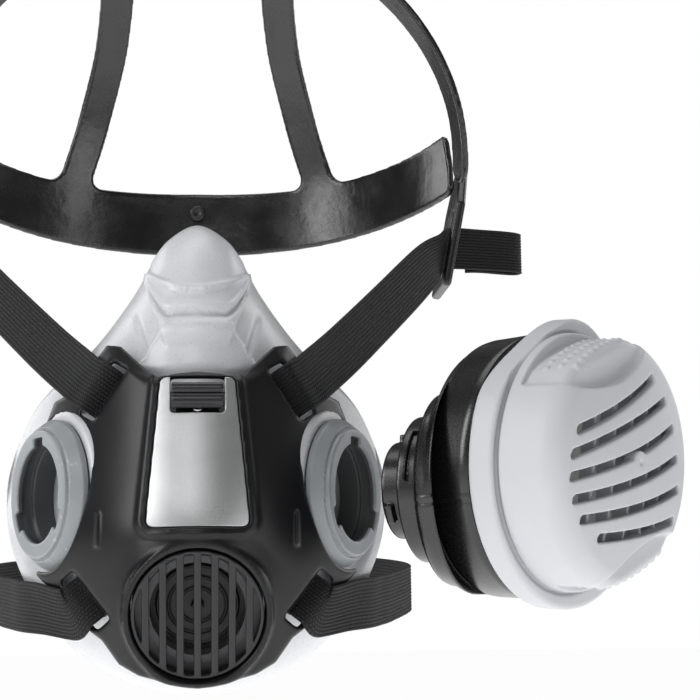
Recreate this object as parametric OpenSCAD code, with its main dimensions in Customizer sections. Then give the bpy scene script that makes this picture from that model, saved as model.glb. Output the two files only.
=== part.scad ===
// Half-mask respirator with a front cover, head cradle, neck strap and one twist-on filter.
// Millimetres. Origin at the centre of the face opening, with the face plane at y = 0.
// The front of the mask looks along -Y, +Z is up, and +X is the viewer's right.

/* [Facepiece] */
// Thickness of the soft wall
wall = 2.6; // [2:0.1:3]
// How far the bowl stands out in front of its rim
bowl_depth = 49; // [46:1:50]
// Roundness of the bowl from its rim to its front
bowl_power = 2.2; // [2:0.1:2.4]

/* [Front cover] */
// Thickness of the moulded cover
cover_thick = 2.6; // [2.2:0.1:2.8]
// Clear space behind the cover for the frame and the soft wall
cover_gap = 6; // [6:0.5:7]
// Height of the raised lip around the plate
lip_rise = 0.8; // [0.4:0.1:1.2]
// Thickness of the metal plate
plate_thick = 1.2; // [0.8:0.1:1.4]

/* [Exhalation valve] */
// Outer radius of the collar around the grille
grille_r = 20.3; // [20:0.1:20.6]
// Distance between the grille bars
bar_pitch = 4.65; // [4.5:0.05:4.8]
// Width of one grille bar
bar_w = 2; // [1.6:0.1:2.4]
// Radius of the valve disc
exhale_r = 11.5; // [10:0.5:12]

/* [Inlet ports] */
// Angle of each port from straight ahead, in degrees
port_angle = 61; // [60:0.5:62]
// Radius of the collar's flange
flange_r = 21.5; // [21:0.1:21.6]
// Outer radius of the collar
collar_r = 18.2; // [18:0.1:18.4]
// Radius of the collar's mouth
mouth_r = 14; // [13.8:0.1:14.2]
// Width of each bayonet notch
notch_w = 6.4; // [5:0.1:6.6]
// Radius of the inlet valve disc
inhale_r = 12.4; // [11:0.1:12.6]

/* [Filter] */
// Distance of the loose filter from its port
detach = 21; // [15:1:25]
// Radius of the grey filter rim
rim_r = 40; // [38:0.5:41]
// Depth of the grey filter rim
rim_depth = 8; // [7:0.5:9]
// Angle between the filter's front and its bayonet, in degrees
wedge = 14; // [10:1:16]
// Sideways lean of the filter's wide end, in degrees
rim_lean = 5; // [0:1:6]
// Slots across the cap
cap_slots = 6; // [4:1:6]

/* [Harness] */
// Width of the elastic strap
strap_w = 15; // [14:0.5:15]
// Thickness of the elastic strap
strap_t = 1.4; // [1:0.1:1.6]
// Radius of the head cradle, seen from above
cradle_r = 95.7; // [94:0.1:97]
// Height of the cradle's dome above its band
cradle_h = 98; // [94:1:102]
// Thickness of the cradle
cradle_t = 2.4; // [2:0.1:3]
// Height of the cradle's band at the back
band_w = 25; // [22:1:27]
// Width of the cradle's arms
arm_w = 13; // [11:0.5:14]

/* [Hidden] */
$fn = 96;
eps = 0.01;

cover_lean = 0.364;     // backward slope of the plate, as run over rise
grille_lean = 0.306;    // backward slope of the part below the plate
cover_curve = 0.0187;   // sideways curvature of the cover
cover_nose = [-76.5, -27];
grille_tilt = 17;
grille_pos = [0, -68, -50];
port_pos = [45.6, -38, -15.4];
bowl_mid = -20;         // height of the bowl's deepest point
rim_y = -8;             // where the bowl's wall meets the rolled rim
cradle_mid = [0, 57.3, 102];

// ---------------------------------------------------------------- helpers

function unit(v) = v / norm(v);
function smooth_max(a, b, k) = let (m = max(a, b)) m + k * ln(exp((a - m) / k) + exp((b - m) / k));

// Catmull-Rom curve through the points p, with n steps between neighbours
function knot(p, i, closed) = closed ? p[(i + len(p)) % len(p)] : p[max(0, min(len(p) - 1, i))];
function blend(a, b, c, d, t) =
    0.5 * (2 * b + (c - a) * t + (2 * a - 5 * b + 4 * c - d) * t * t + (3 * b - a - 3 * c + d) * t * t * t);
function curve(p, n, closed = false) = [
    for (i = [0 : len(p) - (closed ? 1 : 2)]) for (j = [0 : n - 1])
        blend(knot(p, i - 1, closed), knot(p, i, closed), knot(p, i + 1, closed), knot(p, i + 2, closed), j / n),
    if (!closed) p[len(p) - 1]
];
function mirrored(half) = concat(half, [for (i = [len(half) - 2 : -1 : 1]) [-half[i][0], half[i][1]]]);

// Faces between rings of m points each: a closed tube with flat or pointed ends
function ring_faces(rings, m) = [
    for (i = [0 : rings - 2]) for (j = [0 : m - 1]) let (a = i * m + j, b = i * m + (j + 1) % m)
        each [[a, b, b + m], [a, b + m, a + m]]
];

// A flat band along p. across holds the direction of its width at each point.
module ribbon(p, across, w, t) {
    n = len(p);
    pts = [for (i = [0 : n - 1])
        let (along = unit(p[min(i + 1, n - 1)] - p[max(i - 1, 0)]),
             out = unit(cross(along, across[i])), side = unit(cross(out, along)))
        for (c = [[-1, -1], [1, -1], [1, 1], [-1, 1]])
            p[i] + side * c[0] * w[i] / 2 + out * c[1] * t / 2];
    polyhedron(pts, concat(
        [[0, 1, 2], [0, 2, 3]],
        [for (f = ring_faces(n, 4)) [f[0], f[2], f[1]]],
        [[4 * n - 4, 4 * n - 2, 4 * n - 3], [4 * n - 4, 4 * n - 1, 4 * n - 2]]));
}

module tube(outer, inner, low, high) {
    translate([0, 0, low]) difference() {
        cylinder(r = outer, h = high - low);
        translate([0, 0, -eps]) cylinder(r = inner, h = high - low + 2 * eps);
    }
}

// ---------------------------------------------------------------- places

// Mirrors the right-hand shape for the left-hand side
module on_side(side) { mirror([side > 0 ? 0 : 1, 0, 0]) children(); }
// The grille's own axes: z out through the grille, y up
module at_grille() { translate(grille_pos) rotate([90 + grille_tilt, 0, 0]) children(); }
// A port's own axes: z out of the port, y up, x towards the back
module at_port(side) {
    on_side(side) translate(port_pos) rotate([90, 0, port_angle]) children();
}
// The filter's bayonet axes, at the face of its first step
module at_filter() { at_port(1) translate([0, 0, detach]) children(); }
// The filter's rim axes, at the back of the grey rim
module at_rim() {
    at_filter() translate([10.3, 7.1, 32.7]) rotate(a = rim_lean, v = [sin(61), 0, -cos(61)])
        rotate([0, -wedge, 0]) children();
}
// The latch's axes: z up along the plate, y into the mask
module at_latch() { translate([0, -62.9, 10.1]) rotate([-20, 0, 0]) children(); }

latch_pivot = [0, 3.4, 3];

// ---------------------------------------------------------------- facepiece

function cover_mid(z) = smooth_max(cover_nose[0] + (z - cover_nose[1]) * cover_lean,
                                   -75.5 - (z + 30) * grille_lean, 3);
function cover_y(x, z) = cover_mid(z) + cover_curve * x * x;

rim_half = [[0, 70], [13, 62.5], [21, 48], [32, 30], [49, 11], [57, -11],
            [53.5, -34], [40, -56], [21, -69], [0, -73]];
rim_line = curve(mirrored(rim_half), 3, true);
function bowl_y(rho) = rim_y - bowl_depth * pow(1 - pow(rho, bowl_power), 1 / bowl_power);
function wall_point(q, rho) = let (x = q[0] * rho, z = bowl_mid + (q[1] - bowl_mid) * rho)
    [x, smooth_max(bowl_y(rho), cover_y(x, z) + cover_gap, 2), z];
function inner_point(q, rho) = let (o = wall_point(q, rho), k = 0.955)
    [o[0] * k, min(o[1] + wall, -9.5), bowl_mid + (o[2] - bowl_mid) * k];
function lip_point(q, c) = [q[0] * c[0], c[1], bowl_mid + (q[1] - bowl_mid) * c[0]];
bowl_steps = [0.1, 0.25, 0.4, 0.55, 0.68, 0.79, 0.88, 0.94, 0.98];
lip_section = [[1, -5.5], [0.99, -2], [0.95, -0.2], [0.89, 0], [0.75, -1.5], [0.62, -6],
               [0.62, -7.5], [0.75, -4.2], [0.88, -3.6], [0.945, -7.5]];

module facepiece_shell() {
    m = len(rim_line);
    rings = [
        for (rho = bowl_steps) [for (q = rim_line) wall_point(q, rho)],
        for (c = lip_section) [for (q = rim_line) lip_point(q, c)],
        for (i = [len(bowl_steps) - 2 : -1 : 0]) [for (q = rim_line) inner_point(q, bowl_steps[i])]
    ];
    n = len(rings);
    tip = wall_point([0, 0], 0);
    pts = concat([for (r = rings) each r], [tip, tip + [0, wall, 0]]);
    polyhedron(pts, concat(
        [for (j = [0 : m - 1]) [m * n, j, (j + 1) % m]],
        [for (f = ring_faces(n, m)) [f[0], f[2], f[1]]],
        [for (j = [0 : m - 1]) [m * n + 1, m * (n - 1) + (j + 1) % m, m * (n - 1) + j]]));
}

module facepiece() {
    color([0.82, 0.83, 0.85, 0.7]) difference() {
        union() {
            facepiece_shell();
            for (side = [-1, 1]) at_port(side) translate([0, 0, -12.3])
                cylinder(r = flange_r + 0.3, h = 5.3);
        }
        for (side = [-1, 1]) at_port(side) {
            translate([0, 0, -30]) cylinder(r = collar_r + 0.1, h = 40);
            translate([0, 0, -7]) cylinder(r = flange_r + 0.4, h = 20);
            translate([0, 0, -30]) cylinder(r = flange_r + 0.9, h = 17.7);
        }
        at_grille() translate([0, 0, -30]) cylinder(r = 15.05, h = 30);
    }
}

// ---------------------------------------------------------------- cover, frame and plate

layer_x = 52;
layer_z = [-74, 32];
// A curved sheet that follows the cover, from depth a to depth b behind its front
module layer(a, b, nx = 26, nz = 26) {
    step_x = 2 * layer_x / nx;
    step_z = (layer_z[1] - layer_z[0]) / nz;
    m = nx + 1;
    side = m * (nz + 1);
    pts = [for (d = [a, b]) for (k = [0 : nz]) for (i = [0 : nx])
        let (x = -layer_x + i * step_x, z = layer_z[0] + k * step_z) [x, cover_y(x, z) + d, z]];
    edge = concat([for (i = [0 : nx - 1]) i], [for (k = [0 : nz - 1]) nx + k * m],
                  [for (i = [nx : -1 : 1]) nz * m + i], [for (k = [nz : -1 : 1]) k * m]);
    polyhedron(pts, concat(
        [for (k = [0 : nz - 1]) for (i = [0 : nx - 1]) let (p = k * m + i)
            each [[p, p + m, p + 1], [p + 1, p + m, p + m + 1]]],
        [for (k = [0 : nz - 1]) for (i = [0 : nx - 1]) let (p = side + k * m + i)
            each [[p, p + 1, p + m], [p + 1, p + m + 1, p + m]]],
        [for (j = [0 : len(edge) - 1]) let (p = edge[j], q = edge[(j + 1) % len(edge)])
            each [[p, q, q + side], [p, q + side, p + side]]]));
}
// Extrudes a front-view outline through the whole cover
module through() { translate([0, 20, 0]) rotate([90, 0, 0]) linear_extrude(120) children(); }

cover_half = [[0, 17], [6, 16.6], [11, 15.8], [16, 20.5], [21.5, 26.2], [26, 27.2], [31, 21],
              [37, 13.5], [41.5, 12], [44, 6], [47, -14], [46, -38], [40.4, -43.4], [29.7, -54],
              [26.2, -56.5], [21.4, -63], [16, -66], [8, -68], [0, -68.6]];
module cover_outline() { polygon(mirrored(cover_half)); }
module plate_outline(grow) {
    offset(r = 2 + grow) offset(delta = -2)
        polygon([[-10.2, 15.4], [10.2, 15.4], [14.3, -26.6], [-14.3, -26.6]]);
}
module window_outline(grow) { translate([-7.5 - grow, 5 - grow]) square([15 + 2 * grow, 9.8 + 2 * grow]); }
// The slot in an ear: its middle, its slant and its size
module ear_slot(slot) { translate(slot[0]) rotate(slot[1]) square([strap_w + 2, 4.8], center = true); }
upper_slot = [[26.5, 12.7], -56];
lower_slot = [[30.9, -45.6], 51];
module ear_slots() {
    for (side = [0, 1]) mirror([side, 0]) {
        ear_slot(upper_slot);
        ear_slot(lower_slot);
    }
}
module port_cutters(r) { for (side = [-1, 1]) at_port(side) translate([0, 0, -40]) cylinder(r = r, h = 80); }

module front_cover() {
    color([0.06, 0.06, 0.065]) difference() {
        union() {
            intersection() {
                difference() {
                    layer(0, cover_thick);
                    port_cutters(flange_r + 0.4);
                }
                through() difference() { cover_outline(); ear_slots(); }
            }
            intersection() {
                layer(-lip_rise, 0.4, 16, 20);
                through() difference() { plate_outline(3); plate_outline(0.1); }
            }
            at_grille() tube(grille_r, 18, -8.5, 0.5);
            for (x = [-9.4, 7.9]) at_latch() translate([x, 1.8, 1.6]) cube([1.5, 3, 2.8]);
        }
        intersection() {
            layer(-3, plate_thick + 0.05, 12, 20);
            through() plate_outline(0.1);
        }
        through() window_outline(0.15);
        at_grille() translate([0, 0, -20]) cylinder(r = 18, h = 30);
        at_latch() translate(latch_pivot) rotate([0, 90, 0]) cylinder(r = 0.82, h = 21, center = true);
    }
}

module cover_plate() {
    color([0.78, 0.79, 0.8]) intersection() {
        layer(0, plate_thick, 12, 20);
        through() difference() {
            plate_outline(0);
            window_outline(0);
            translate([-7.5, 8]) square([15, 12]);
        }
    }
}

module support_frame() {
    color([0.12, 0.12, 0.13]) difference() {
        intersection() {
            union() {
                layer(cover_thick + 0.3, cover_gap - 1.2, 20, 20);
                intersection() {
                    layer(5.7, 6.7, 12, 12);
                    translate([-6, -90, -4]) cube([12, 60, 18]);
                }
                intersection() {
                    layer(cover_thick + 0.3, 6.7, 12, 12);
                    translate([-6, -90, -4]) cube([12, 60, 4]);
                }
            }
            through() polygon([[-18, 5], [18, 5], [33, -10], [33, -28], [22, -40], [-22, -40],
                               [-33, -28], [-33, -10]]);
        }
        through() translate([-9, 0.4]) square([18, 16]);
        port_cutters(24.3);
        at_grille() translate([0, 0, -30]) cylinder(r = grille_r + 0.3, h = 60);
    }
    color([0.12, 0.12, 0.13]) intersection() {
        layer(5.7, 6.7, 12, 12);
        translate([-6, -90, 0.2]) cube([12, 60, 13]);
    }
}

// ---------------------------------------------------------------- latch

module release_latch() {
    color([0.07, 0.07, 0.075]) at_latch() difference() {
        union() {
            translate([-7.2, -0.2, -3.4]) cube([14.4, 2, 7.5]);
            translate([-6.9, -0.3, 0.6]) rotate([0, 90, 0]) cylinder(r = 0.9, h = 13.8);
            translate(latch_pivot) rotate([0, 90, 0]) cylinder(r = 1.5, h = 13, center = true);
            translate([-6.5, 1.4, 2]) cube([13, 2, 2]);
        }
        translate(latch_pivot) rotate([0, 90, 0]) cylinder(r = 0.85, h = 30, center = true);
    }
}
module latch_pin() {
    color([0.7, 0.7, 0.72]) at_latch() translate(latch_pivot) rotate([0, 90, 0])
        cylinder(r = 0.8, h = 18, center = true);
}
module latch_spring() {
    color([0.7, 0.7, 0.72]) at_latch() translate([0, 1.9, -2.6]) rotate([-90, 0, 0])
        tube(1.5, 1.1, 0, 3.2);
}

// ---------------------------------------------------------------- exhalation valve

module exhalation_grille() {
    color([0.05, 0.05, 0.055]) at_grille() {
        difference() {
            union() {
                tube(17.9, 16.9, -4.5, 0);
                intersection() {
                    translate([0, 0, -2.2]) cylinder(r = 17.4, h = 2.2);
                    for (i = [-3 : 3]) translate([i * bar_pitch - bar_w / 2, -18, -3])
                        cube([bar_w, 36, 4]);
                }
            }
        }
    }
}
module valve_housing() {
    color([0.75, 0.76, 0.78]) at_grille() difference() {
        union() {
            translate([0, 0, -22]) cylinder(r = 15, h = 16);
            translate([0, 0, -8]) cylinder(r = 17.9, h = 1.5);
        }
        translate([0, 0, -23]) cylinder(r = 13, h = 20);
    }
}
module exhalation_seat() {
    color([0.09, 0.09, 0.1]) at_grille() {
        tube(12.95, 10.2, -13, -11.2);
        intersection() {
            translate([0, 0, -13]) cylinder(r = 11, h = 1.2);
            for (a = [0, 60, 120]) rotate(a) cube([24, 1.6, 30], center = true);
        }
        translate([0, 0, -13]) cylinder(r = 1.4, h = 5);
    }
}
module exhalation_valve() {
    color([0.12, 0.12, 0.13]) at_grille() tube(exhale_r, 1.5, -11.15, -10.15);
}

// ---------------------------------------------------------------- inlet ports

module inlet_collar(side) {
    color([0.6, 0.62, 0.64]) at_port(side) difference() {
        union() {
            translate([0, 0, -16]) cylinder(r = collar_r, h = 16);
            translate([0, 0, -6]) cylinder(r = flange_r, h = 2);
        }
        translate([0, 0, -20]) cylinder(r = mouth_r, h = 30);
        translate([0, 0, -5.6]) cylinder(r = 16.2, h = 3.6);
        translate([0, 0, -20]) cylinder(r = 15, h = 14.5);
        for (a = [90, 210, 330]) intersection() {
            translate([0, 0, -3]) cylinder(r = 16.2, h = 10);
            rotate(a) translate([0, -notch_w / 2, -3]) cube([20, notch_w, 10]);
        }
    }
}
module inlet_seat(side) {
    color([0.3, 0.31, 0.33]) at_port(side) {
        tube(14.95, 11.6, -13.5, -12);
        intersection() {
            translate([0, 0, -13.5]) cylinder(r = 12, h = 1.4);
            for (a = [-45, 45]) rotate(a) cube([40, 1.8, 40], center = true);
        }
        translate([0, 0, -15.6]) cylinder(r = 1.4, h = 2.5);
    }
}
module inlet_valve(side) {
    color([0.85, 0.78, 0.6]) at_port(side) tube(inhale_r, 1.5, -14.5, -13.55);
}
module port_gasket(side) {
    color([0.15, 0.15, 0.16]) at_port(side) tube(21, collar_r + 0.05, -6.95, -6.02);
}
module retaining_ring(side) {
    color([0.55, 0.57, 0.6]) at_port(side) tube(22, collar_r + 0.05, -15.5, -12.35);
}

// ---------------------------------------------------------------- straps

// A point by an ear slot: run is the distance past the slot's middle, away from the mask's
// middle, and depth is measured behind the cover's front
function by_slot(slot, turn, run, depth) = let (x = slot[0][0] + run * cos(slot[1] + turn),
                                                z = slot[0][1] + run * sin(slot[1] + turn))
    [x, cover_y(x, z) + depth, z];
slot_pass = [[-7, 4.1], [-2.6, 4.1], [0, 1.2], [2.6, -1.8], [6, -2]];
// Middle line of the upper strap, and the direction of its width, as chosen points
upper_route = concat([for (c = slot_pass) by_slot(upper_slot, 90, c[0], c[1])],
    [[35, -38, 19.5], [45, -16, 30], [64, 26, 51.5], [79, 60, 69], [85.6, 76, 76],
     [89.6, 84.2, 80], [94.5, 88, 81], [102, 92, 81.3], [117, 99, 81.5]]);
upper_across = concat([for (c = slot_pass) [-0.56, -0.24, 0.83]],
    [[-0.6, -0.15, 0.8], [-0.72, 0, 0.68], [-0.68, 0, 0.7], [-0.4, 0, 0.9], [0.1, 0, 0.99],
     [0.19, 0, 0.98], [0.19, 0, 0.98], [0.1, 0, 1], [0, 0, 1]]);
// Middle line of the lower strap, round the side and behind the neck
clasp_z = -34.5;
hook_pin = [-15, 131];
hook_pin_r = 1.5;
lower_route = concat([for (c = slot_pass) by_slot(lower_slot, -90, c[0], c[1])],
    [[44.5, -33, -47.6], [51, -21, -46.8], [55, -8, -46], [60.5, 10, -44.8], [70.5, 51, -41.5],
     [67, 78, -39], [52, 104, -36.5], [34, 119, -35], [22, 127.3, clasp_z], [18, 129.1, clasp_z]]);
lower_across = concat([for (c = slot_pass) [0.63, 0.5, 0.78]],
    [[0.35, 0.25, 0.9], [0.15, 0.1, 0.98], [0, 0, 1], [0, 0, 1], [0, 0, 1], [0, 0, 1], [0, 0, 1],
     [0, 0, 1], [0, 0, 1], [0, 0, 1]]);

module strap(side, route, across) {
    p = curve(route, 3);
    color([0.05, 0.05, 0.05]) on_side(side) ribbon(p, curve(across, 3), [for (q = p) strap_w], strap_t);
}
module upper_strap(side) { strap(side, upper_route, upper_across); }
module lower_strap(side) {
    color([0.05, 0.05, 0.05]) if (side > 0) {
        strap(1, concat(lower_route, [[13.4, 129.2, clasp_z]]), concat(lower_across, [[0, 0, 1]]));
    } else difference() {
        union() {
            strap(-1, lower_route, lower_across);
            translate([hook_pin[0], hook_pin[1], clasp_z - strap_w / 2]) cylinder(r = 3.1, h = strap_w);
        }
        translate([hook_pin[0], hook_pin[1], clasp_z - 20]) cylinder(r = hook_pin_r + 0.08, h = 40);
    }
}

// ---------------------------------------------------------------- head cradle

// A point on the cradle's dome, from its angle round the back and its height angle
function dome(turn, rise) = cradle_mid
    + [cradle_r * sin(turn) * cos(rise), cradle_r * cos(turn) * cos(rise), cradle_h * sin(rise)];
function dome_normal(p) = let (d = p - cradle_mid)
    unit([d[0] / pow(cradle_r, 2), d[1] / pow(cradle_r, 2), d[2] / pow(cradle_h, 2)]);
module dome_band(line, widths) {
    n = len(line);
    across = [for (i = [0 : n - 1])
        cross(dome_normal(line[i]), line[min(i + 1, n - 1)] - line[max(i - 1, 0)])];
    ribbon(line, across, widths, cradle_t);
}
band_end = 74;
// The band rises a little towards its ends
function band_line(turn) = [cradle_r * sin(turn), cradle_mid[1] + cradle_r * cos(turn),
                            cradle_mid[2] + 0.5 + 10 * pow(abs(sin(turn)), 3)];
// The side hoop and the two arms over the back of the head, as angles on the dome
hoop = curve([[80, 4], [83, 18], [82, 36], [76, 54], [60, 71]], 6);
arm = curve([[31, 5], [27, 22], [27, 42], [36, 58], [60, 71]], 6);

module head_cradle() {
    color([0.04, 0.04, 0.045]) union() {
        band = [for (k = [-16 : 16]) band_line(band_end * k / 16)];
        ribbon(band, [for (p = band) [0, 0, 1]], [for (p = band) band_w - 3 * abs(p[0]) / 90], cradle_t);
        for (side = [-1, 1]) {
            dome_band([for (q = hoop) dome(side * q[0], q[1])], [for (q = hoop) arm_w]);
            dome_band([for (q = arm) dome(side * q[0], q[1])], [for (q = arm) arm_w]);
        }
        crown = [for (k = [-8 : 8]) let (x = k * 4.2, y = 11)
            cradle_mid + [x, y, cradle_h * sqrt(1 - (x * x + y * y) / pow(cradle_r, 2))]];
        dome_band(crown, [for (p = crown) arm_w + 5]);
    }
}
module cradle_stud() {
    color([0.08, 0.08, 0.085]) translate([0, cradle_mid[1] + cradle_r - cradle_t / 2 - 0.15, 107])
        rotate([90, 0, 0]) cylinder(r = 3, h = 2);
}

// ---------------------------------------------------------------- buckles and neck clasp

buckle_t = 3.4;
buckle_lean = 11;
buckle_top = [97.6, 0, 112];
// The buckle's axes: its plate lies in x, y and leans in towards its lower end
module at_buckle(side) {
    on_side(side) translate(buckle_top) rotate([0, buckle_lean, 0]) translate([0, 0, -buckle_top[2]]) children();
}
module buckle_outline() {
    offset(r = 2) polygon([[80, 67], [80, 95], [92, 110], [103, 110], [109, 97], [109, 67]]);
}
module harness_buckle(side) {
    color([0.07, 0.07, 0.075]) at_buckle(side)
        translate([-buckle_t / 2, 0, 0]) rotate([90, 0, 90]) linear_extrude(buckle_t)
            difference() {
                buckle_outline();
                translate([81.6, 68]) square([7.2, 26]);
                translate([91.6, 68]) square([3.2, 30]);
                translate([98, 68]) square([3.2, 30]);
            }
}

module neck_clasp_eye() {
    color([0.08, 0.08, 0.085]) translate([2, 130, clasp_z - 9]) difference() {
        cube([15, 2, 18]);
        translate([2, -1, 2]) cube([6, 4, 14]);
        translate([10, -1, 1]) cube([3, 4, 16]);
    }
}
module neck_clasp_hook() {
    color([0.08, 0.08, 0.085]) translate([0, 0, clasp_z]) {
        translate([hook_pin[0], hook_pin[1], -9]) cylinder(r = hook_pin_r, h = 18);
        translate([hook_pin[0] + 3.6, 132.6, -9]) cube([19.9, 2, 18]);
        for (z = [-9, 8.1]) translate([hook_pin[0] - 1.2, hook_pin[1], z]) cube([6, 3.6, 0.9]);
        translate([6.5, 128.8, -5]) cube([2, 5, 10]);
    }
}

// ---------------------------------------------------------------- filter

// The rim's outline: a circle with two flats beside its top, rounded where they meet
module rim_section(r, h) {
    linear_extrude(h) offset(r = 16) offset(delta = -16) intersection() {
        translate([2.5, 0]) circle(r = r + 0.8);
        intersection_for(turn = [53, 127])
            translate([2.5, 0]) rotate(turn) translate([-100, -100]) square([137.4, 200]);
    }
}

module bayonet_seal() {
    color([0.1, 0.1, 0.11]) at_filter() tube(17.4, 14.1, -0.9, -0.1);
}
module bayonet_plug() {
    color([0.05, 0.05, 0.055]) at_filter() difference() {
        union() {
            translate([0, 0, -7.5]) cylinder(r = 13.7, h = 13.5);
            cylinder(r = 20.6, h = 6);
            for (a = [90, 210, 330]) intersection() {
                translate([0, 0, -6.2]) cylinder(r = 15.9, h = 2.4);
                rotate(a) translate([0, 0.5 - notch_w / 2, -7]) cube([20, notch_w - 1, 6]);
            }
        }
        translate([0, 0, -8]) cylinder(r = 11.5, h = 20);
    }
}
module filter_housing() {
    color([0.05, 0.05, 0.055]) difference() {
        union() {
            at_filter() translate([0, 0, 6.02]) cylinder(r = 20.8, h = 6);
            hull() {
                at_filter() translate([0, 0, 9.5]) cylinder(r = 27.5, h = 2, $fn = 48);
                at_filter() translate([3, 3, 12]) cylinder(r = 32, h = 1, $fn = 48);
                at_rim() translate([0, 0, -13.5]) cylinder(r = 37.5, h = 13.45, $fn = 48);
            }
        }
        at_filter() translate([0, 0, 0]) cylinder(r = 11.5, h = 20);
        at_rim() translate([0, 0, -17]) cylinder(r = 33, h = 20);
    }
}
module carbon_bed() {
    color([0.1, 0.1, 0.1]) at_rim() translate([0, 0, -16]) cylinder(r = 32.9, h = 8);
}
module carbon_screens() {
    color([0.7, 0.7, 0.7]) at_rim() {
        translate([0, 0, -16.8]) cylinder(r = 32.9, h = 0.7);
        translate([0, 0, -7.9]) cylinder(r = 32.9, h = 0.7);
    }
}
module particle_media() {
    color([0.93, 0.93, 0.9]) at_rim() {
        tube(32.9, 31.4, -7, -0.5);
        intersection() {
            translate([0, 0, -7]) cylinder(r = 31.6, h = 6.5);
            for (i = [-12 : 12]) translate([i * 2.5 - 0.5, -40, -7]) cube([1, 80, 6.5]);
        }
        translate([0, 0, -7]) cylinder(r = 31.6, h = 0.5);
    }
}
module filter_rim() {
    color([0.72, 0.73, 0.75]) at_rim() difference() {
        union() {
            rim_section(rim_r, rim_depth);
            translate([0, 0, rim_depth - 1]) cylinder(r = 34.4, h = 3);
        }
        translate([0, 0, -1]) cylinder(r = 33, h = 20);
    }
}
cap_base = 8.3;
cap_edge = [[8.3, 36], [21, 35.3], [24.2, 34], [26.2, 31.8]];   // height and radius of the cap's wall and edge
cap_top = 31;
dome_r = 130;           // radius of the domed front
grip_turn = 114;        // direction of the upper finger grip
grip_reach = 21.3;      // how near a grip comes to the cap's middle
// Ends of the slots in the front, from the top
slot_left = [[-27.5, 5], [-29.5, -1.6], [-29.3, -7.3], [-27.5, -12.8], [-23.8, -18], [-15, -22.2]];
slot_right = [[9.5, 24.7], [16.8, 19.5], [22, 12.4], [25.2, 4.2], [26.7, -4.3], [24.7, -13.5]];
function dome_z(r) = cap_top - dome_r + sqrt(dome_r * dome_r - r * r);
// The floor under the grips: a cone inside the wall, curving in to a low front
module grip_floor() {
    rotate_extrude($fn = 48)
        polygon([[0, 0], [35.2, 0], [35.2, 11.4], [32.2, 20], [30.6, 23], [27.4, 25], [22, 25.8], [0, 25.8]]);
}
module prefilter_cap() {
    color([0.74, 0.75, 0.77]) at_rim() difference() {
        hull() {
            for (e = cap_edge) translate([0, 0, e[0]]) cylinder(r = e[1], h = 0.5, $fn = 64);
            for (r = [29, 20, 10, 3]) translate([0, 0, dome_z(r) - 0.5]) cylinder(r = r, h = 0.5, $fn = 64);
        }
        translate([0, 0, cap_base - 1]) cylinder(r = 34.7, h = 3);
        translate([0, 0, cap_base - 1]) cylinder(r = 30.4, h = 13.02);
        translate([0, 0, cap_base + 12]) cylinder(r1 = 30.4, r2 = 12, h = 7.4);
        for (turn = [grip_turn, grip_turn + 180]) rotate(turn) difference() {
            translate([0, 0, 11.6]) linear_extrude(30)
                polygon([[50, -25], [50, 25], for (p = [24 : -4 : -24]) [grip_reach + 0.0175 * p * p, p]]);
            grip_floor();
        }
        for (i = [0 : cap_slots - 1]) let (from = slot_left[i], to = slot_right[i])
            translate([from[0], from[1], 18]) rotate(atan2(to[1] - from[1], to[0] - from[0]))
                translate([0, -1.3, 0]) cube([norm(to - from), 2.6, 30]);
    }
}
module prefilter_pad() {
    color([0.92, 0.92, 0.92]) at_rim() translate([0, 0, 13.2]) cylinder(r = 30.2, h = 5);
}

// ---------------------------------------------------------------- all nodes

facepiece();
support_frame();
front_cover();
cover_plate();
release_latch();
latch_pin();
latch_spring();
exhalation_grille();
valve_housing();
exhalation_seat();
exhalation_valve();
inlet_collar(-1);  // inlet_collar_left
inlet_collar(1);  // inlet_collar_right
inlet_seat(-1);  // inlet_seat_left
inlet_seat(1);  // inlet_seat_right
inlet_valve(-1);  // inlet_valve_left
inlet_valve(1);  // inlet_valve_right
port_gasket(-1);  // port_gasket_left
port_gasket(1);  // port_gasket_right
retaining_ring(-1);  // retaining_ring_left
retaining_ring(1);  // retaining_ring_right
upper_strap(-1);  // upper_strap_left
upper_strap(1);  // upper_strap_right
lower_strap(-1);  // lower_strap_left
lower_strap(1);  // lower_strap_right
harness_buckle(-1);  // harness_buckle_left
harness_buckle(1);  // harness_buckle_right
head_cradle();
cradle_stud();
neck_clasp_eye();
neck_clasp_hook();
bayonet_seal();
bayonet_plug();
filter_housing();
carbon_bed();
carbon_screens();
particle_media();
filter_rim();
prefilter_cap();
prefilter_pad();
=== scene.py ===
"""The looks of the half-mask respirator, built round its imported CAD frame.

All sizes are millimetres in the frame's own axes: -Y is the mask's front, +Z is up and +X the viewer's right.
Hard parts are drawn as distance fields, negative inside, and skinned, so that their edges come out rounded.
"""

import math

import bpy
import numpy as np
from mathutils import Matrix, Vector


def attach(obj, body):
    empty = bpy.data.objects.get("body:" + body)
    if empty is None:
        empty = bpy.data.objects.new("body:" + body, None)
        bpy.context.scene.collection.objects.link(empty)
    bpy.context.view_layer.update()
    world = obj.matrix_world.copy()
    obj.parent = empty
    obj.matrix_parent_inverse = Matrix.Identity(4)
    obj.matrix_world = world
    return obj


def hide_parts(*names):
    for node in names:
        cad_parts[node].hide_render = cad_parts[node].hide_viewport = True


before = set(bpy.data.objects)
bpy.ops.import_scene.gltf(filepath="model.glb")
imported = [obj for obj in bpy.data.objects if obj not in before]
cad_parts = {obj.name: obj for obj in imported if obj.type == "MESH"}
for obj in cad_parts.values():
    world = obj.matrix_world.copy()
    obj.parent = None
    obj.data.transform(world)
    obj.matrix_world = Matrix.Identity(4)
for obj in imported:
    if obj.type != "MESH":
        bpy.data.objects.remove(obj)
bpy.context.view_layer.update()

MM = 0.001
scene = bpy.context.scene

# ------------------------------------------------------------------ fields


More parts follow.
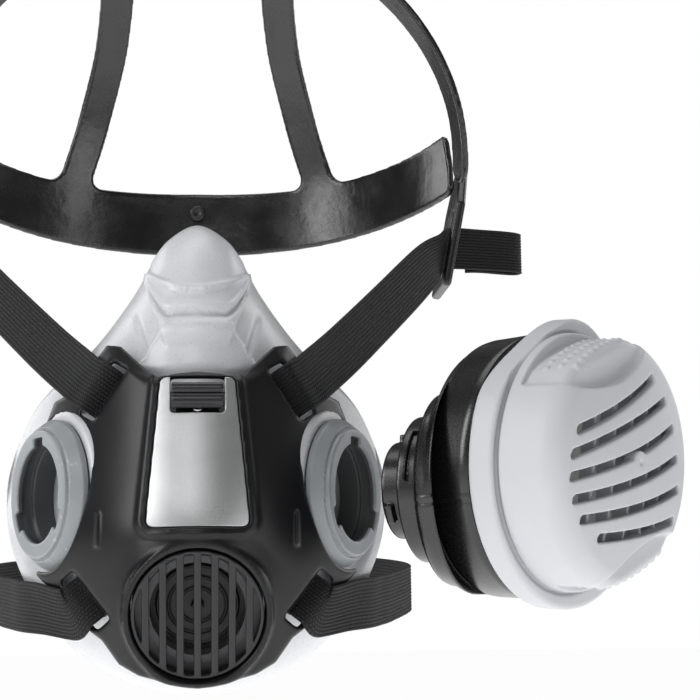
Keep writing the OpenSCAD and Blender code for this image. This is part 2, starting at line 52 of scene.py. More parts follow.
def both(a, b, r=0.0):
    """What lies in both fields, with the edge between them rounded to radius r."""
    if r <= 0:
        return np.maximum(a, b)
    return np.hypot(np.maximum(a + r, 0), np.maximum(b + r, 0)) + np.minimum(np.maximum(a, b) + r, 0) - r


def join(a, b, r=0.0):
    return -both(-a, -b, r)


def cut(a, b, r=0.0):
    return both(a, -b, r)


def within(value, low, high):
    return np.maximum(low - value, value - high)


def fade(value, start, end):
    """1 before start, 0 after end, and a smooth step between them."""
    t = np.clip((value - start) / (end - start), 0, 1)
    return 1 - t * t * (3 - 2 * t)


def rectangle(u, v, half_u, half_v, r=0.0):
    """Distance to a rectangle round the origin with corner radius r."""
    a, b = np.abs(u) - half_u + r, np.abs(v) - half_v + r
    return np.hypot(np.maximum(a, 0), np.maximum(b, 0)) + np.minimum(np.maximum(a, b), 0) - r


def outline_distance(points, u, v):
    """Distance to a closed outline."""
    nearest, inside = np.inf, False
    for (au, av), (bu, bv) in zip(points, np.roll(points, -1, axis=0)):
        du, dv = bu - au, bv - av
        t = np.clip(((u - au) * du + (v - av) * dv) / (du * du + dv * dv), 0, 1)
        nearest = np.minimum(nearest, (u - au - t * du) ** 2 + (v - av - t * dv) ** 2)
        if dv:
            inside = inside ^ (((av > v) != (bv > v)) & (u < au + du * (v - av) / dv))
    return np.where(inside, -1, 1) * np.sqrt(nearest)


def line_distance(points, x, y, z):
    """Distance to an open line through points in space."""
    nearest = np.inf
    for a, b in zip(points[:-1], points[1:]):
        d = b - a
        t = np.clip(((x - a[0]) * d[0] + (y - a[1]) * d[1] + (z - a[2]) * d[2]) / (d @ d), 0, 1)
        nearest = np.minimum(nearest, (x - a[0] - t * d[0]) ** 2 + (y - a[1] - t * d[1]) ** 2
                             + (z - a[2] - t * d[2]) ** 2)
    return np.sqrt(nearest)


def curve(points, steps, closed=False):
    """Catmull-Rom curve through the points, with that many steps between neighbours."""
    p = np.array(points, float)
    n = len(p)
    t = (np.arange(steps) / steps)[:, None]
    out = []
    for i in range(n if closed else n - 1):
        a, b, c, d = (p[k % n if closed else min(max(k, 0), n - 1)] for k in range(i - 1, i + 3))
        out.append(0.5 * (2 * b + (c - a) * t + (2 * a - 5 * b + 4 * c - d) * t**2
                          + (3 * b - a - 3 * c + d) * t**3))
    if not closed:
        out.append(p[-1:])
    return np.concatenate(out)


def mirrored(half):
    return np.array(half + [[-x, z] for x, z in half[-2:0:-1]], float)


# ------------------------------------------------------------------ meshes


def surface_net(values, low, step):
    """Points and quads of the surface where values, on a regular grid, turns from negative to positive."""
    inside = values < 0
    cells = tuple(n - 1 for n in values.shape)
    corners = [(i, j, k) for i in (0, 1) for j in (0, 1) for k in (0, 1)]
    count = sum(inside[i:i + cells[0], j:j + cells[1], k:k + cells[2]].astype(np.int8) for i, j, k in corners)
    where = np.argwhere((count > 0) & (count < 8))
    number = np.full(cells, -1, np.int64)
    number[tuple(where.T)] = np.arange(len(where))
    total, hits = np.zeros((len(where), 3)), np.zeros((len(where), 1))
    for a in corners:
        for axis in range(3):
            if a[axis]:
                continue
            way = np.eye(3, dtype=int)[axis]
            va, vb = values[tuple((where + a).T)], values[tuple((where + a + way).T)]
            crossed = ((va < 0) != (vb < 0))[:, None]
            t = (va / np.where(va == vb, 1, va - vb))[:, None]
            total += np.where(crossed, a + t * way, 0)
            hits += crossed
    quads = []
    for axis in range(3):
        u, v = np.eye(3, dtype=int)[(axis + 1) % 3], np.eye(3, dtype=int)[(axis + 2) % 3]
        first, second = np.delete(inside, -1, axis), np.delete(inside, 0, axis)
        at = np.argwhere(first != second)
        cell = [number[tuple((at + shift).T)] for shift in (-u - v, -v, 0 * u, -u)]
        quad = np.stack(cell, 1)
        leaving = first[tuple(at.T)]
        quad[~leaving] = quad[~leaving][:, ::-1]
        quads.append(quad)
    return (where + total / hits) * step + low, np.concatenate(quads)


def relaxed(points, quads, rounds):
    """Each point moved halfway to the middle of its neighbours, that many times."""
    edges = np.concatenate([quads[:, [i, (i + 1) % 4]] for i in range(4)])
    a, b = np.concatenate([edges[:, 0], edges[:, 1]]), np.concatenate([edges[:, 1], edges[:, 0]])
    degree = np.bincount(a, minlength=len(points))[:, None]
    for _ in range(rounds):
        sums = np.stack([np.bincount(a, points[b, k], len(points)) for k in range(3)], 1)
        points = 0.5 * points + 0.5 * sums / degree
    return points


def placed(points, matrix):
    m = np.array(matrix)
    return points @ m[:3, :3].T + m[:3, 3]


def piece(name, points, faces, look, body, nodes=(), smooth=True):
    """A mesh in the row frame that rides on body.

    It takes look's finish and slot, and stands for the CAD nodes.
    """
    mesh = bpy.data.meshes.new(name)
    mesh.from_pydata((np.asarray(points) * MM).tolist(), [], [list(map(int, f)) for f in faces])
    mesh.polygons.foreach_set("use_smooth", [smooth] * len(mesh.polygons))
    mesh.validate()
    obj = bpy.data.objects.new(name, mesh)
    scene.collection.objects.link(obj)
    obj.data.materials.append(look)
    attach(obj, body)
    if nodes:
        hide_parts(*nodes)
    return obj


def solid(name, field, low, high, step, look, body, nodes=(), place=None, warp=None, mirror=False, rounds=0):
    """The skin of a distance field between two corners. warp and then place carry it into the row frame."""
    axes = [np.arange(a - 1.5 * step, b + 2.5 * step, step) for a, b in zip(low, high)]
    values = np.broadcast_to(field(*np.ix_(*axes)), [len(a) for a in axes])
    points, quads = surface_net(values, [a[0] for a in axes], step)
    points = relaxed(points, quads, rounds)
    if warp:
        points = warp(points)
    if place is not None:
        points = placed(points, place)
    if mirror:
        points, quads = points * [-1, 1, 1], quads[:, ::-1]
    return piece(name, points, quads, look, body, nodes)


def modified(obj, kind, **settings):
    """Adds a modifier to the piece and applies it."""
    modifier = obj.modifiers.new(kind.lower(), kind)
    for key, value in settings.items():
        setattr(modifier, key, value)
    bpy.context.view_layer.update()
    done = bpy.data.meshes.new_from_object(obj.evaluated_get(bpy.context.evaluated_depsgraph_get()))
    obj.modifiers.clear()
    obj.data = done
    return obj


def ring_quads(rings, around, first=0):
    """Quads between closed rings of points that follow each other."""
    i, j = np.meshgrid(np.arange(rings - 1), np.arange(around), indexing="ij")
    a, b = i * around + j, i * around + (j + 1) % around
    return np.stack([a, b, b + around, a + around], -1).reshape(-1, 4) + first


# ------------------------------------------------------------------ places


def shift(x, y, z):
    return Matrix.Translation((x, y, z))


def turn(axis, degrees):
    return Matrix.Rotation(math.radians(degrees), 4, axis)


AT_GRILLE = shift(0, -68, -50) @ turn("X", 107)
PORT_YAW = 61
AT_PORT = shift(45.6, -38, -15.4) @ turn("Z", PORT_YAW) @ turn("X", 90)
AT_FILTER = AT_PORT @ shift(0, 0, 21)
LEAN_AXIS = Vector((math.sin(math.radians(PORT_YAW)), 0, -math.cos(math.radians(PORT_YAW))))
RIM_LEAN = Matrix.Rotation(math.radians(5), 4, LEAN_AXIS)
AT_RIM = AT_FILTER @ shift(10.3, 7.1, 32.7) @ RIM_LEAN @ turn("Y", -14)
AT_LATCH = shift(0, -62.9, 10.1) @ turn("X", -20)
AT_BUCKLE = shift(97.6, 0, 112) @ turn("Y", 11) @ shift(0, 0, -112)


def local(matrix, x, y, z):
    """Coordinates of row-frame points in a place's own axes."""
    m = np.array(matrix.inverted())
    return [m[i, 0] * x + m[i, 1] * y + m[i, 2] * z + m[i, 3] for i in range(3)]


# ------------------------------------------------------------------ materials


class Nodes:
    """A material's node tree, with short calls for the nodes used here."""

    def __init__(self, name):
        self.material = bpy.data.materials.new(name)
        self.material.use_nodes = True
        self.tree = self.material.node_tree
        self.shader = self.tree.nodes["Principled BSDF"]

    def node(self, kind, inputs=None, **settings):
        made = self.tree.nodes.new("ShaderNode" + kind)
        for key, value in settings.items():
            setattr(made, key, value)
        for key, value in (inputs or {}).items():
            if isinstance(value, bpy.types.NodeSocket):
                self.tree.links.new(value, made.inputs[key])
            else:
                made.inputs[key].default_value = value
        return made

    def math(self, operation, a, b=0.0):
        return self.node("Math", {0: a, 1: b}, operation=operation).outputs[0]

    def place(self, kind="Object"):
        return self.node("TexCoord").outputs[kind]

    def noise(self, vector, scale, detail=3.0):
        return self.node("TexNoise", {"Vector": vector, "Scale": scale, "Detail": detail}).outputs["Fac"]

    def spread(self, value, low, high, out_low, out_high):
        return self.node("MapRange", {0: value, 1: low, 2: high, 3: out_low, 4: out_high}).outputs[0]

    def mix(self, factor, a, b):
        made = self.node("Mix", {"Factor": factor}, data_type="RGBA")
        for key, value in ((6, a), (7, b)):
            if isinstance(value, bpy.types.NodeSocket):
                self.tree.links.new(value, made.inputs[key])
            else:
                made.inputs[key].default_value = (*value, 1)
        return made.outputs[2]

    def bump(self, height, distance, strength=1.0):
        made = self.node("Bump", {"Height": height, "Distance": distance, "Strength": strength})
        self.tree.links.new(made.outputs[0], self.shader.inputs["Normal"])

    def set(self, **sockets):
        for key, value in sockets.items():
            socket = self.shader.inputs[key.replace("_", " ")]
            if isinstance(value, bpy.types.NodeSocket):
                self.tree.links.new(value, socket)
            else:
                socket.default_value = value


def moulded(name, slot, color, rough, grain, depth, mottle=0.12, wear=0.0, **sockets):
    """A moulded or metal finish: grain per metre with its depth, slow mottling, and lighter worn edges."""
    n = Nodes(name)
    at = n.place()
    fine = n.noise(at, grain)
    slow = n.noise(at, 45.0, 2.0)
    dark = [c * (1 - mottle) for c in color]
    light = [min(c * (1 + mottle), 1) for c in color]
    tint = n.mix(slow, dark, light)
    if wear:
        edge = n.spread(n.node("NewGeometry").outputs["Pointiness"], 0.52, 0.62, 0, 1)
        broken = n.math("MULTIPLY", edge, n.spread(n.noise(at, 700.0), 0.35, 0.65, 0.3, 1))
        tint = n.mix(n.math("MULTIPLY", broken, wear), tint, [min(c * 2.2 + 0.1, 1) for c in color])
    uneven = n.math("ADD", n.math("MULTIPLY", fine, 0.6), n.math("MULTIPLY", slow, 0.4))
    n.set(Base_Color=tint, Roughness=n.spread(uneven, 0.3, 0.7, rough[0], rough[1]), **sockets)
    n.bump(fine, depth)
    n.material["slot"] = slot
    return n.material


def webbing_look():
    """Black ribbed elastic. UV runs across in ribs and along in millimetres."""
    n = Nodes("webbing")
    uv = n.node("SeparateXYZ", {0: n.place("UV")})
    across, along = uv.outputs[0], uv.outputs[1]
    rib = n.math("ABSOLUTE", n.math("SINE", n.math("MULTIPLY", across, math.pi)))
    stagger = n.math("MULTIPLY", n.math("FLOOR", across), 0.5)
    stitch = n.math("ABSOLUTE", n.math("SINE", n.math(
        "MULTIPLY", n.math("ADD", n.math("MULTIPLY", along, 1.15), stagger), math.pi)))
    fuzz = n.noise(n.place(), 2600.0, 4.0)
    raised = n.math("MULTIPLY", stitch, rib)
    # The base colour is lighter on the raised stitches and darker between them: a painted highlight on the
    # stitch tops and painted shade in the gaps between the ribs.
    painted_rib_highlight = n.math("MULTIPLY", n.math("ADD", raised, n.math("MULTIPLY", fuzz, 0.5)), 0.6)
    n.set(Base_Color=n.mix(painted_rib_highlight, (0.0015, 0.0015, 0.002), (0.012, 0.012, 0.014)),
          Roughness=n.spread(painted_rib_highlight, 0, 1, 0.85, 0.6), Sheen_Weight=0.04, Sheen_Roughness=0.4,
          Specular_IOR_Level=0.3)
    n.bump(n.math("ADD", raised, n.math("MULTIPLY", fuzz, 0.4)), 0.00022)
    n.material["slot"] = "webbing"
    return n.material


def silicone_look():
    """Frosted translucent silicone."""
    n = Nodes("silicone")
    at = n.place()
    cloud = n.noise(at, 38.0, 3.0)
    fine = n.noise(at, 1900.0, 2.0)
    n.set(Base_Color=n.mix(cloud, (0.60, 0.605, 0.63), (0.72, 0.725, 0.75)),
          Roughness=n.spread(fine, 0.3, 0.7, 0.26, 0.42),
          Subsurface_Weight=0.35, Subsurface_Scale=0.004, Transmission_Weight=0.18, IOR=1.41,
          Coat_Weight=0.25, Coat_Roughness=0.3)
    n.shader.inputs["Subsurface Radius"].default_value = (1.0, 0.95, 0.9)
    n.bump(n.math("ADD", n.math("MULTIPLY", cloud, 1.0), n.math("MULTIPLY", fine, 0.15)), 0.00012)
    n.material["slot"] = "silicone"
    return n.material


def cradle_look():
    """Glossy black rubber, a little wavy, with a hazy bloom in patches."""
    n = Nodes("cradle")
    at = n.place()
    cloud = n.noise(at, 60.0, 4.0)
    wave = n.noise(at, 130.0, 3.0)
    fine = n.noise(at, 2500.0, 2.0)
    n.set(Base_Color=n.mix(cloud, (0.003, 0.003, 0.0035), (0.009, 0.009, 0.010)),
          Roughness=n.spread(n.math("ADD", n.math("MULTIPLY", cloud, 0.7), n.math("MULTIPLY", fine, 0.3)),
                             0.35, 0.65, 0.17, 0.33), Specular_IOR_Level=0.62)
    n.bump(n.math("ADD", wave, n.math("MULTIPLY", fine, 0.03)), 0.0004, 0.6)
    n.material["slot"] = "cradle_black"
    return n.material


def plate_look():
    """Bead-blasted metal with a satin sheen."""
    n = Nodes("plate")
    at = n.place()
    grit = n.noise(at, 4200.0, 5.0)
    slow = n.noise(at, 90.0, 2.0)
    n.set(Base_Color=n.mix(slow, (0.44, 0.445, 0.45), (0.56, 0.565, 0.57)), Metallic=1.0,
          Roughness=n.spread(grit, 0.3, 0.7, 0.30, 0.52))
    n.bump(grit, 0.00006)
    n.material["slot"] = "plate_silver"
    return n.material


def pleat_look():
    """Pleated white fibre paper."""
    n = Nodes("media")
    at = n.place()
    fibre = n.noise(at, 1600.0, 6.0)
    n.set(Base_Color=n.mix(fibre, (0.72, 0.72, 0.69), (0.88, 0.88, 0.85)),
          Roughness=n.spread(fibre, 0, 1, 0.75, 0.95), Sheen_Weight=0.2)
    n.bump(fibre, 0.0002)
    n.material["slot"] = "media"
    return n.material


def mesh_look():
    """Fine woven screen."""
    n = Nodes("screen")
    at = n.node("SeparateXYZ", {0: n.place()})
    wires = [n.math("ABSOLUTE", n.math("SINE", n.math("MULTIPLY", at.outputs[i], 3400.0))) for i in (1, 2)]
    weave = n.math("MULTIPLY", *wires)
    n.set(Base_Color=n.mix(weave, (0.08, 0.08, 0.08), (0.55, 0.55, 0.55)),
          Roughness=n.spread(weave, 0, 1, 0.7, 0.4))
    n.bump(weave, 0.0003)
    n.material["slot"] = "screen"
    return n.material


LOOKS = {
    "silicone": silicone_look(),
    "cover": moulded("cover", "cover_black", (0.006, 0.006, 0.007), (0.28, 0.38), 3000.0, 0.00003,
                     wear=0.2, Specular_IOR_Level=0.3),
    "latch": moulded("latch", "cover_black", (0.010, 0.010, 0.012), (0.24, 0.36), 3000.0, 0.00002, wear=0.2),
    "grille": moulded("grille", "cover_black", (0.006, 0.006, 0.007), (0.32, 0.45), 3200.0, 0.00002,
                      wear=0.15),
    "frame": moulded("frame", "frame_black", (0.012, 0.012, 0.013), (0.4, 0.55), 2600.0, 0.00004),
    "plate": plate_look(),
    "steel": moulded("steel", "steel", (0.55, 0.55, 0.57), (0.22, 0.38), 2400.0, 0.00002, Metallic=1.0),
    "housing_grey": moulded("housing_grey", "housing_grey", (0.13, 0.132, 0.14), (0.35, 0.5), 2200.0,
                            0.00003),
    "collar": moulded("collar", "collar_grey", (0.25, 0.268, 0.28), (0.30, 0.42), 2600.0, 0.00003, wear=0.25),
    # A darker copy of the collar finish with the same slot: painted shade for the faces inside the collar's
    # bore.
    "collar_shaded_inside": moulded("collar_shaded_inside", "collar_grey", (0.075, 0.077, 0.08), (0.4, 0.55), 2600.0,
                             0.00003),
    "seat": moulded("seat", "seat_grey", (0.38, 0.39, 0.40), (0.36, 0.5), 2600.0, 0.00003),
    "valve": moulded("valve", "valve_rubber", (0.010, 0.010, 0.011), (0.32, 0.46), 2000.0, 0.00003),
    "seal": moulded("seal", "seal_rubber", (0.03, 0.03, 0.03), (0.5, 0.65), 2000.0, 0.00004),
    "webbing": webbing_look(),
    "cradle": cradle_look(),
    "buckle": moulded("buckle", "buckle_black", (0.009, 0.009, 0.010), (0.24, 0.38), 2600.0, 0.00003,
                      wear=0.25),
    "filter_black": moulded("filter_black", "filter_black", (0.005, 0.005, 0.0055), (0.2, 0.32), 2000.0,
                            0.00001, Specular_IOR_Level=0.6),
    "filter_grey": moulded("filter_grey", "filter_grey", (0.50, 0.51, 0.535), (0.42, 0.56), 2300.0, 0.00005,
                           mottle=0.05),
    "carbon": moulded("carbon", "carbon", (0.02, 0.02, 0.02), (0.5, 0.9), 900.0, 0.0006),
    "screen": mesh_look(),
    "media": pleat_look(),
    "pad": moulded("pad", "pad", (0.70, 0.70, 0.69), (0.85, 0.98), 1500.0, 0.0003, Sheen_Weight=0.3),
}

# ------------------------------------------------------------------ cover, plate, latch and grille

COVER_CURVE = 0.0187
COVER_THICK = 2.6
GRILLE_RING_R = 20.3
GRILLE_BORE_R = 18.1
PORT_CUTOUT_R = 21.9
COVER_HALF = [[0, 17], [6, 16.6], [11, 15.8], [16, 20.5], [21.5, 26.2], [26, 27.2], [31, 21], [37, 13.5],
              [41.5, 12], [44, 6], [47, -14], [46, -38], [40.4, -43.4], [29.7, -54], [26.2, -56.5],
              [21.4, -63], [16, -66], [8, -68], [0, -68.6]]
COVER = mirrored(COVER_HALF)
PLATE = np.array([[-10.2, 15.4], [10.2, 15.4], [14.3, -26.6], [-14.3, -26.6]])
PLATE_R = 2.0
WINDOW = [0, 9.9, 7.5, 4.9]
UPPER_SLOT = [26.5, 12.7, -56]
LOWER_SLOT = [30.9, -45.6, 51]
STRAP_W = 15


def smooth_max(a, b, k):
    m = np.maximum(a, b)
    return m + k * np.log(np.exp((a - m) / k) + np.exp((b - m) / k))


def cover_mid(z):
    return smooth_max(-76.5 + (z + 27) * 0.364, -75.5 - (z + 30) * 0.306, 3)


def cover_y(x, z):
    return cover_mid(z) + COVER_CURVE * x * x


def cover_scale(x, z):
    """Distance across the cover for each millimetre of depth."""
    lean = (cover_mid(z + 0.5) - cover_mid(z - 0.5))
    return 1 / np.sqrt(1 + (2 * COVER_CURVE * x) ** 2 + lean**2)


def from_cover(points):
    """Cover coordinates (x, depth behind the front, z) to the row frame."""
    x, depth, z = points.T
    return np.stack([x, cover_y(x, z) + depth, z], 1)


def plate_distance(x, z):
    middle = PLATE.mean(0)
    inset = middle + (PLATE - middle) * (1 - PLATE_R / np.array([12.3, 21.0]))
    return outline_distance(inset, x, z) - PLATE_R


def window_distance(x, z, grow):
    return rectangle(x - WINDOW[0], z - WINDOW[1], WINDOW[2] + grow, WINDOW[3] + grow, 1.2)


def slot_distance(x, z, slot):
    angle = math.radians(slot[2])
    u, v = np.abs(x) - slot[0], z - slot[1]
    return rectangle(u * math.cos(angle) + v * math.sin(angle), v * math.cos(angle) - u * math.sin(angle),
                     STRAP_W / 2 + 1, 2.4, 0.8)


def front_cover_field(x, depth, z):
    y = cover_y(x, z) + depth
    gx, gy, gz = local(AT_GRILLE, x, y, z)
    rho = np.hypot(gx, gy)
    px, py, _ = local(AT_PORT, np.abs(x), y, z)
    port = np.hypot(px, py) - PORT_CUTOUT_R
    plate = plate_distance(x, z)
    edge = outline_distance(COVER, x, z)
    lip = 0.9 * fade(plate, 1.7, 3.3) - 0.35 * fade(np.abs(plate - 0.9), 0.1, 0.6)
    bevel = 0.42 * np.maximum(0, 4.2 + edge) * (1 - fade(z, 12, 18))
    fin = 1.1 * fade(rectangle(np.abs(x) - 27.4, z + 26.5, 0.25, 4.6), 0, 0.55)
    swell = 1.0 * fade(np.hypot(x, z + 50) - GRILLE_RING_R, -1, 6)
    relief = lip - bevel + fin + swell
    scale = cover_scale(x, z)
    back = COVER_THICK + 1.4 * (1 - fade(np.abs(x), 33, 38))
    sheet = both(-(depth + relief) * scale, (depth - back) * scale, 0.6)
    body = both(sheet, edge, 0.9)
    body = cut(body, port, 1.3)
    for slot in (UPPER_SLOT, LOWER_SLOT):
        body = cut(body, slot_distance(x, z, slot), 0.8)
    ring = both(both(rho - GRILLE_RING_R, GRILLE_BORE_R - rho, 0.3), within(gz, -8.5, 0.5), 0.5)
    body = join(body, ring, 1.6)
    body = cut(body, both(rho - GRILLE_BORE_R - 0.35 * np.maximum(0, gz + 1.2), -gz - 30), 0.35)
    body = cut(body, both(plate - 0.15, depth - 1.3), 0.25)
    return cut(body, window_distance(x, z, 0.15), 0.3)


solid("front_cover_skin", front_cover_field, (-48, -10, -72), (48, 12, 29), 0.55, LOOKS["cover"], "mask",
      ["front_cover"], warp=from_cover)


def cover_plate_field(x, depth, z):
    panel = both(plate_distance(x, z), within(depth, 0, 1.2), 0.3)
    return cut(panel, join(window_distance(x, z, 0), rectangle(x, z - 14, 7.5, 6)), 0.3)


solid("cover_plate_skin", cover_plate_field, (-15, -0.2, -28), (15, 1.6, 17), 0.22, LOOKS["plate"], "mask",
      ["cover_plate"], warp=from_cover)


def latch_field(x, y, z):
    """Two ridged pads, one above the other, with a groove between them."""
    upper = both(np.hypot(y - 1.9, (z - 2.55) * 1.1) - 2.3, within(z, 0.75, 4.1), 0.3)
    lower = both(np.hypot(y - 2.3, (z + 0.75) * 1.0) - 2.5, within(z, -2.6, 0.55), 0.3)
    back = both(within(y, 0.9, 1.8), within(z, -3.4, 4.1), 0.2)
    pads = join(join(upper, lower, 0.2), back, 0.3)
    pads = both(pads, within(y, -0.5, 1.9), 0.1)
    knuckle = np.hypot(y - 3.4, z - 3) - 1.5
    arm = both(within(y, 1.4, 3.4), within(z, 2, 4), 0.2)
    hole = np.hypot(y - 3.4, z - 3) - 0.85
    rear = cut(both(join(knuckle, arm, 0.5), within(x, -6.5, 6.5), 0.3), hole, 0.1)
    return join(both(pads, within(x, -7.2, 7.2), 0.5), rear)


solid("release_latch_skin", latch_field, (-7.5, -0.8, -3.7), (7.5, 5.2, 4.8), 0.2, LOOKS["latch"], "latch",
      ["release_latch"], place=AT_LATCH)

BAR_PITCH = 4.65
BAR_W = 2.0


def grille_field(x, y, z):
    rho = np.hypot(x, y)
    ring = both(both(rho - 17.9, 16.9 - rho, 0.3), within(z, -4.5, 0), 0.3)
    from_bar = np.abs(x - BAR_PITCH * np.clip(np.round(x / BAR_PITCH), -3, 3)) - BAR_W / 2
    bars = both(both(from_bar, within(z, -2.2, 0), 0.35), rho - 17.3)
    return join(ring, bars, 0.3)


solid("grille_skin", grille_field, (-18, -18, -4.6), (18, 18, 0.1), 0.3, LOOKS["grille"], "mask",
      ["exhalation_grille"], place=AT_GRILLE)


def exhale_field(x, y, z):
    """A domed rubber disc with three raised rings."""
    rho = np.hypot(x, y)
    rings = sum(0.35 * fade(np.abs(rho - r), 0.15, 0.5) for r in (4.9, 7.9, 10.9))
    return cut(both(rho - 11.5, both(z + 10.3 - rings, -11.15 - z, 0.2), 0.2), rho - 1.5, 0.1)


solid("exhalation_valve_skin", exhale_field, (-11.6, -11.6, -11.3), (11.6, 11.6, -9.8), 0.25, LOOKS["valve"],
      "exhale_disc", ["exhalation_valve"], place=AT_GRILLE)

# ------------------------------------------------------------------ inlet ports

NOTCHES = (90, 210, 330)


def sector(x, y, angle, half_width):
    """A bar of that half width from the axis outwards at an angle."""
    c, s = math.cos(math.radians(angle)), math.sin(math.radians(angle))
    return np.maximum(np.abs(y * c - x * s) - half_width, -(x * c + y * s))


def collar_field(x, y, z):
    rho = np.hypot(x, y)
    cone = 21.4 - 0.75 * np.maximum(0, z + 4.4)
    outer = np.where(z < -6, 18.2, cone)
    body = both(rho - outer, within(z, -16, 0), 0.45)
    body = cut(body, rho - 14, 0.4)
    body = cut(body, both(rho - 16.2, within(z, -5.6, -2)), 0.2)
    body = cut(body, both(rho - 15, z + 5.5), 0.2)
    groove = both(np.abs(rho - 18.6) - 0.25, -z - 1.6)
    body = cut(body, groove, 0.15)
    for angle in NOTCHES:
        body = cut(body, both(both(sector(x, y, angle, 3.2), rho - 16.2), -3 - z), 0.25)
    return body


def seat_field(x, y, z):
    rho = np.hypot(x, y)
    ring = both(both(rho - 14.95, 11.6 - rho, 0.3), within(z, -13.5, -12), 0.3)
    u, v = (x + y) / math.sqrt(2), (x - y) / math.sqrt(2)
    bars = both(both(join(np.abs(u) - 0.9, np.abs(v) - 0.9), within(z, -13.5, -12.1), 0.2), rho - 12.2)
    stud = both(rho - 1.6, within(z, -15.6, -11.6), 0.3)
    return join(join(ring, bars, 0.6), stud, 0.4)


for side, mirror in (("right", False), ("left", True)):
    collar = solid(f"inlet_collar_skin_{side}", collar_field, (-21.6, -21.6, -16.2), (21.6, 21.6, 0.2), 0.36,
                   LOOKS["collar"], "mask", [f"inlet_collar_{side}"], place=AT_PORT, mirror=mirror)
    collar.data.materials.append(LOOKS["collar_shaded_inside"])
    centres = np.array([p.center for p in collar.data.polygons]) / MM * [-1 if mirror else 1, 1, 1]
    cx, cy, cz = local(AT_PORT, *centres.T)
    # Faces inside the bore and below its top take the darker copy, which is painted shade.
    dark = (np.hypot(cx, cy) < 16.3) & (cz < -0.6)
    collar.data.polygons.foreach_set("material_index", dark.astype(np.int32))
    solid(f"inlet_seat_skin_{side}", seat_field, (-15.1, -15.1, -15.8), (15.1, 15.1, -11.4), 0.3,
          LOOKS["seat"], "mask", [f"inlet_seat_{side}"], place=AT_PORT, mirror=mirror)

# ------------------------------------------------------------------ facepiece

RIM_HALF = [[0, 68], [8, 64], [13.3, 57], [19.6, 45.5], [31, 30], [49, 11], [57, -11], [53.5, -34], [40, -56],
            [21, -69], [0, -73]]
BOWL_MID = -20
BOWL_DEPTH = 49
BOWL_POWER = 2.2
RIM_Y = -8
WALL = 2.6
COVER_GAP = 6
LIP = [[1, -5.5], [0.99, -2], [0.95, -0.2], [0.89, 0], [0.75, -1.5], [0.62, -6], [0.62, -7.5],
       [0.75, -4.2], [0.88, -3.6], [0.945, -7.5]]


def nose_relief(x, z):
    """How far the folds over the nose stand out from the plain bowl."""
    a = np.abs(x)
    ledge = 42.1 + 7.7 * (a / 14.6) ** 2.2
    fold = 34.7 + 0.35 * np.maximum(0, a - 7.5) ** 1.85
    inner = a - (9.4 + (z - 29) * 0.318)
    outer = a - (15.3 + (z - 27.3) * 0.26)
    bulge = a - (9 + (31.6 - z) * 0.63)
    inside = fade(a, 12, 15.5)
    hood = 1.7 * (1 - fade(z - ledge, -0.7, 0.3)) * inside
    groove = (-1.3 * np.exp(-((z - fold) / 0.8) ** 2) + 0.8 * np.exp(-((z - fold - 2.4) / 1.1) ** 2)
              + 0.8 * np.exp(-((z - fold + 2.0) / 1.2) ** 2)) * inside
    step = 1.6 * fade(inner, -0.6, 0.6) * (1 - fade(z, 24, 29)) * fade(z - ledge, -0.5, 1.5)
    crease = -1.0 * np.exp(-(outer / 0.8) ** 2) * (1 - fade(z, 20, 25)) * fade(z, 34, 39)
    trapezoid = 1.8 * fade(bulge, -1.1, 1.1) * (1 - fade(z, 16.5, 19)) * fade(z, 30.5, 33)
    return hood + groove + step + crease + trapezoid


def facepiece():
    rim = curve(mirrored(RIM_HALF), 18, closed=True)
    angles = np.linspace(0.03, 1.5, 90)
    rho = (np.sin(angles) ** (2 / BOWL_POWER))[:, None]
    depth = RIM_Y - BOWL_DEPTH * (np.cos(angles) ** (2 / BOWL_POWER))[:, None]
    x, z = rim[:, 0] * rho, BOWL_MID + (rim[:, 1] - BOWL_MID) * rho
    outer = np.stack([x, smooth_max(depth, cover_y(x, z) + COVER_GAP, 2), z], -1)
    inner = outer[::-3] * [0.955, 1, 0.955] + [0, 0, BOWL_MID * 0.045]
    inner[..., 1] = np.minimum(outer[::-3, :, 1] + WALL, -9.5)
    along = np.gradient(outer, axis=0)
    around = np.roll(outer, -1, axis=1) - np.roll(outer, 1, axis=1)
    normal = np.cross(around, along)
    normal /= np.linalg.norm(normal, axis=-1, keepdims=True)
    normal *= np.sign(-normal[..., 1:2] + 1e-9)
    outer = outer + normal * (nose_relief(x, z) * fade(rho, 0.93, 0.995))[..., None]
    for side in (1, -1):
        for shell, flat in ((outer, -6.6), (inner, -11.8)):
            px, py, ph = local(AT_PORT, side * shell[..., 0], shell[..., 1], shell[..., 2])
            pull = fade(np.hypot(px, py), 23.0, 26.5) * fade(-ph, 20, 28) * (flat - ph)
            yaw = math.radians(PORT_YAW)
            axis = np.array([side * math.sin(yaw), -math.cos(yaw), 0])
            shell += pull[..., None] * axis
    section = curve(LIP, 5)
    lip = np.stack([rim[:, 0] * section[:, :1], np.broadcast_to(section[:, 1:], (len(section), len(rim))),
                    BOWL_MID + (rim[:, 1] - BOWL_MID) * section[:, :1]], -1)
    rings = np.concatenate([outer, lip, inner])
    count, m = rings.shape[:2]
    points = np.concatenate([rings.reshape(-1, 3), outer[0].mean(0)[None], inner[-1].mean(0)[None]])
    front, back, j = count * m, count * m + 1, np.arange(m)
    faces = list(ring_quads(count, m))
    faces += list(np.stack([np.full(m, front), (j + 1) % m, j], 1))
    faces += list(np.stack([np.full(m, back), (count - 1) * m + j, (count - 1) * m + (j + 1) % m], 1))
    return piece("facepiece_skin", points, faces, LOOKS["silicone"], "mask", ["facepiece"])


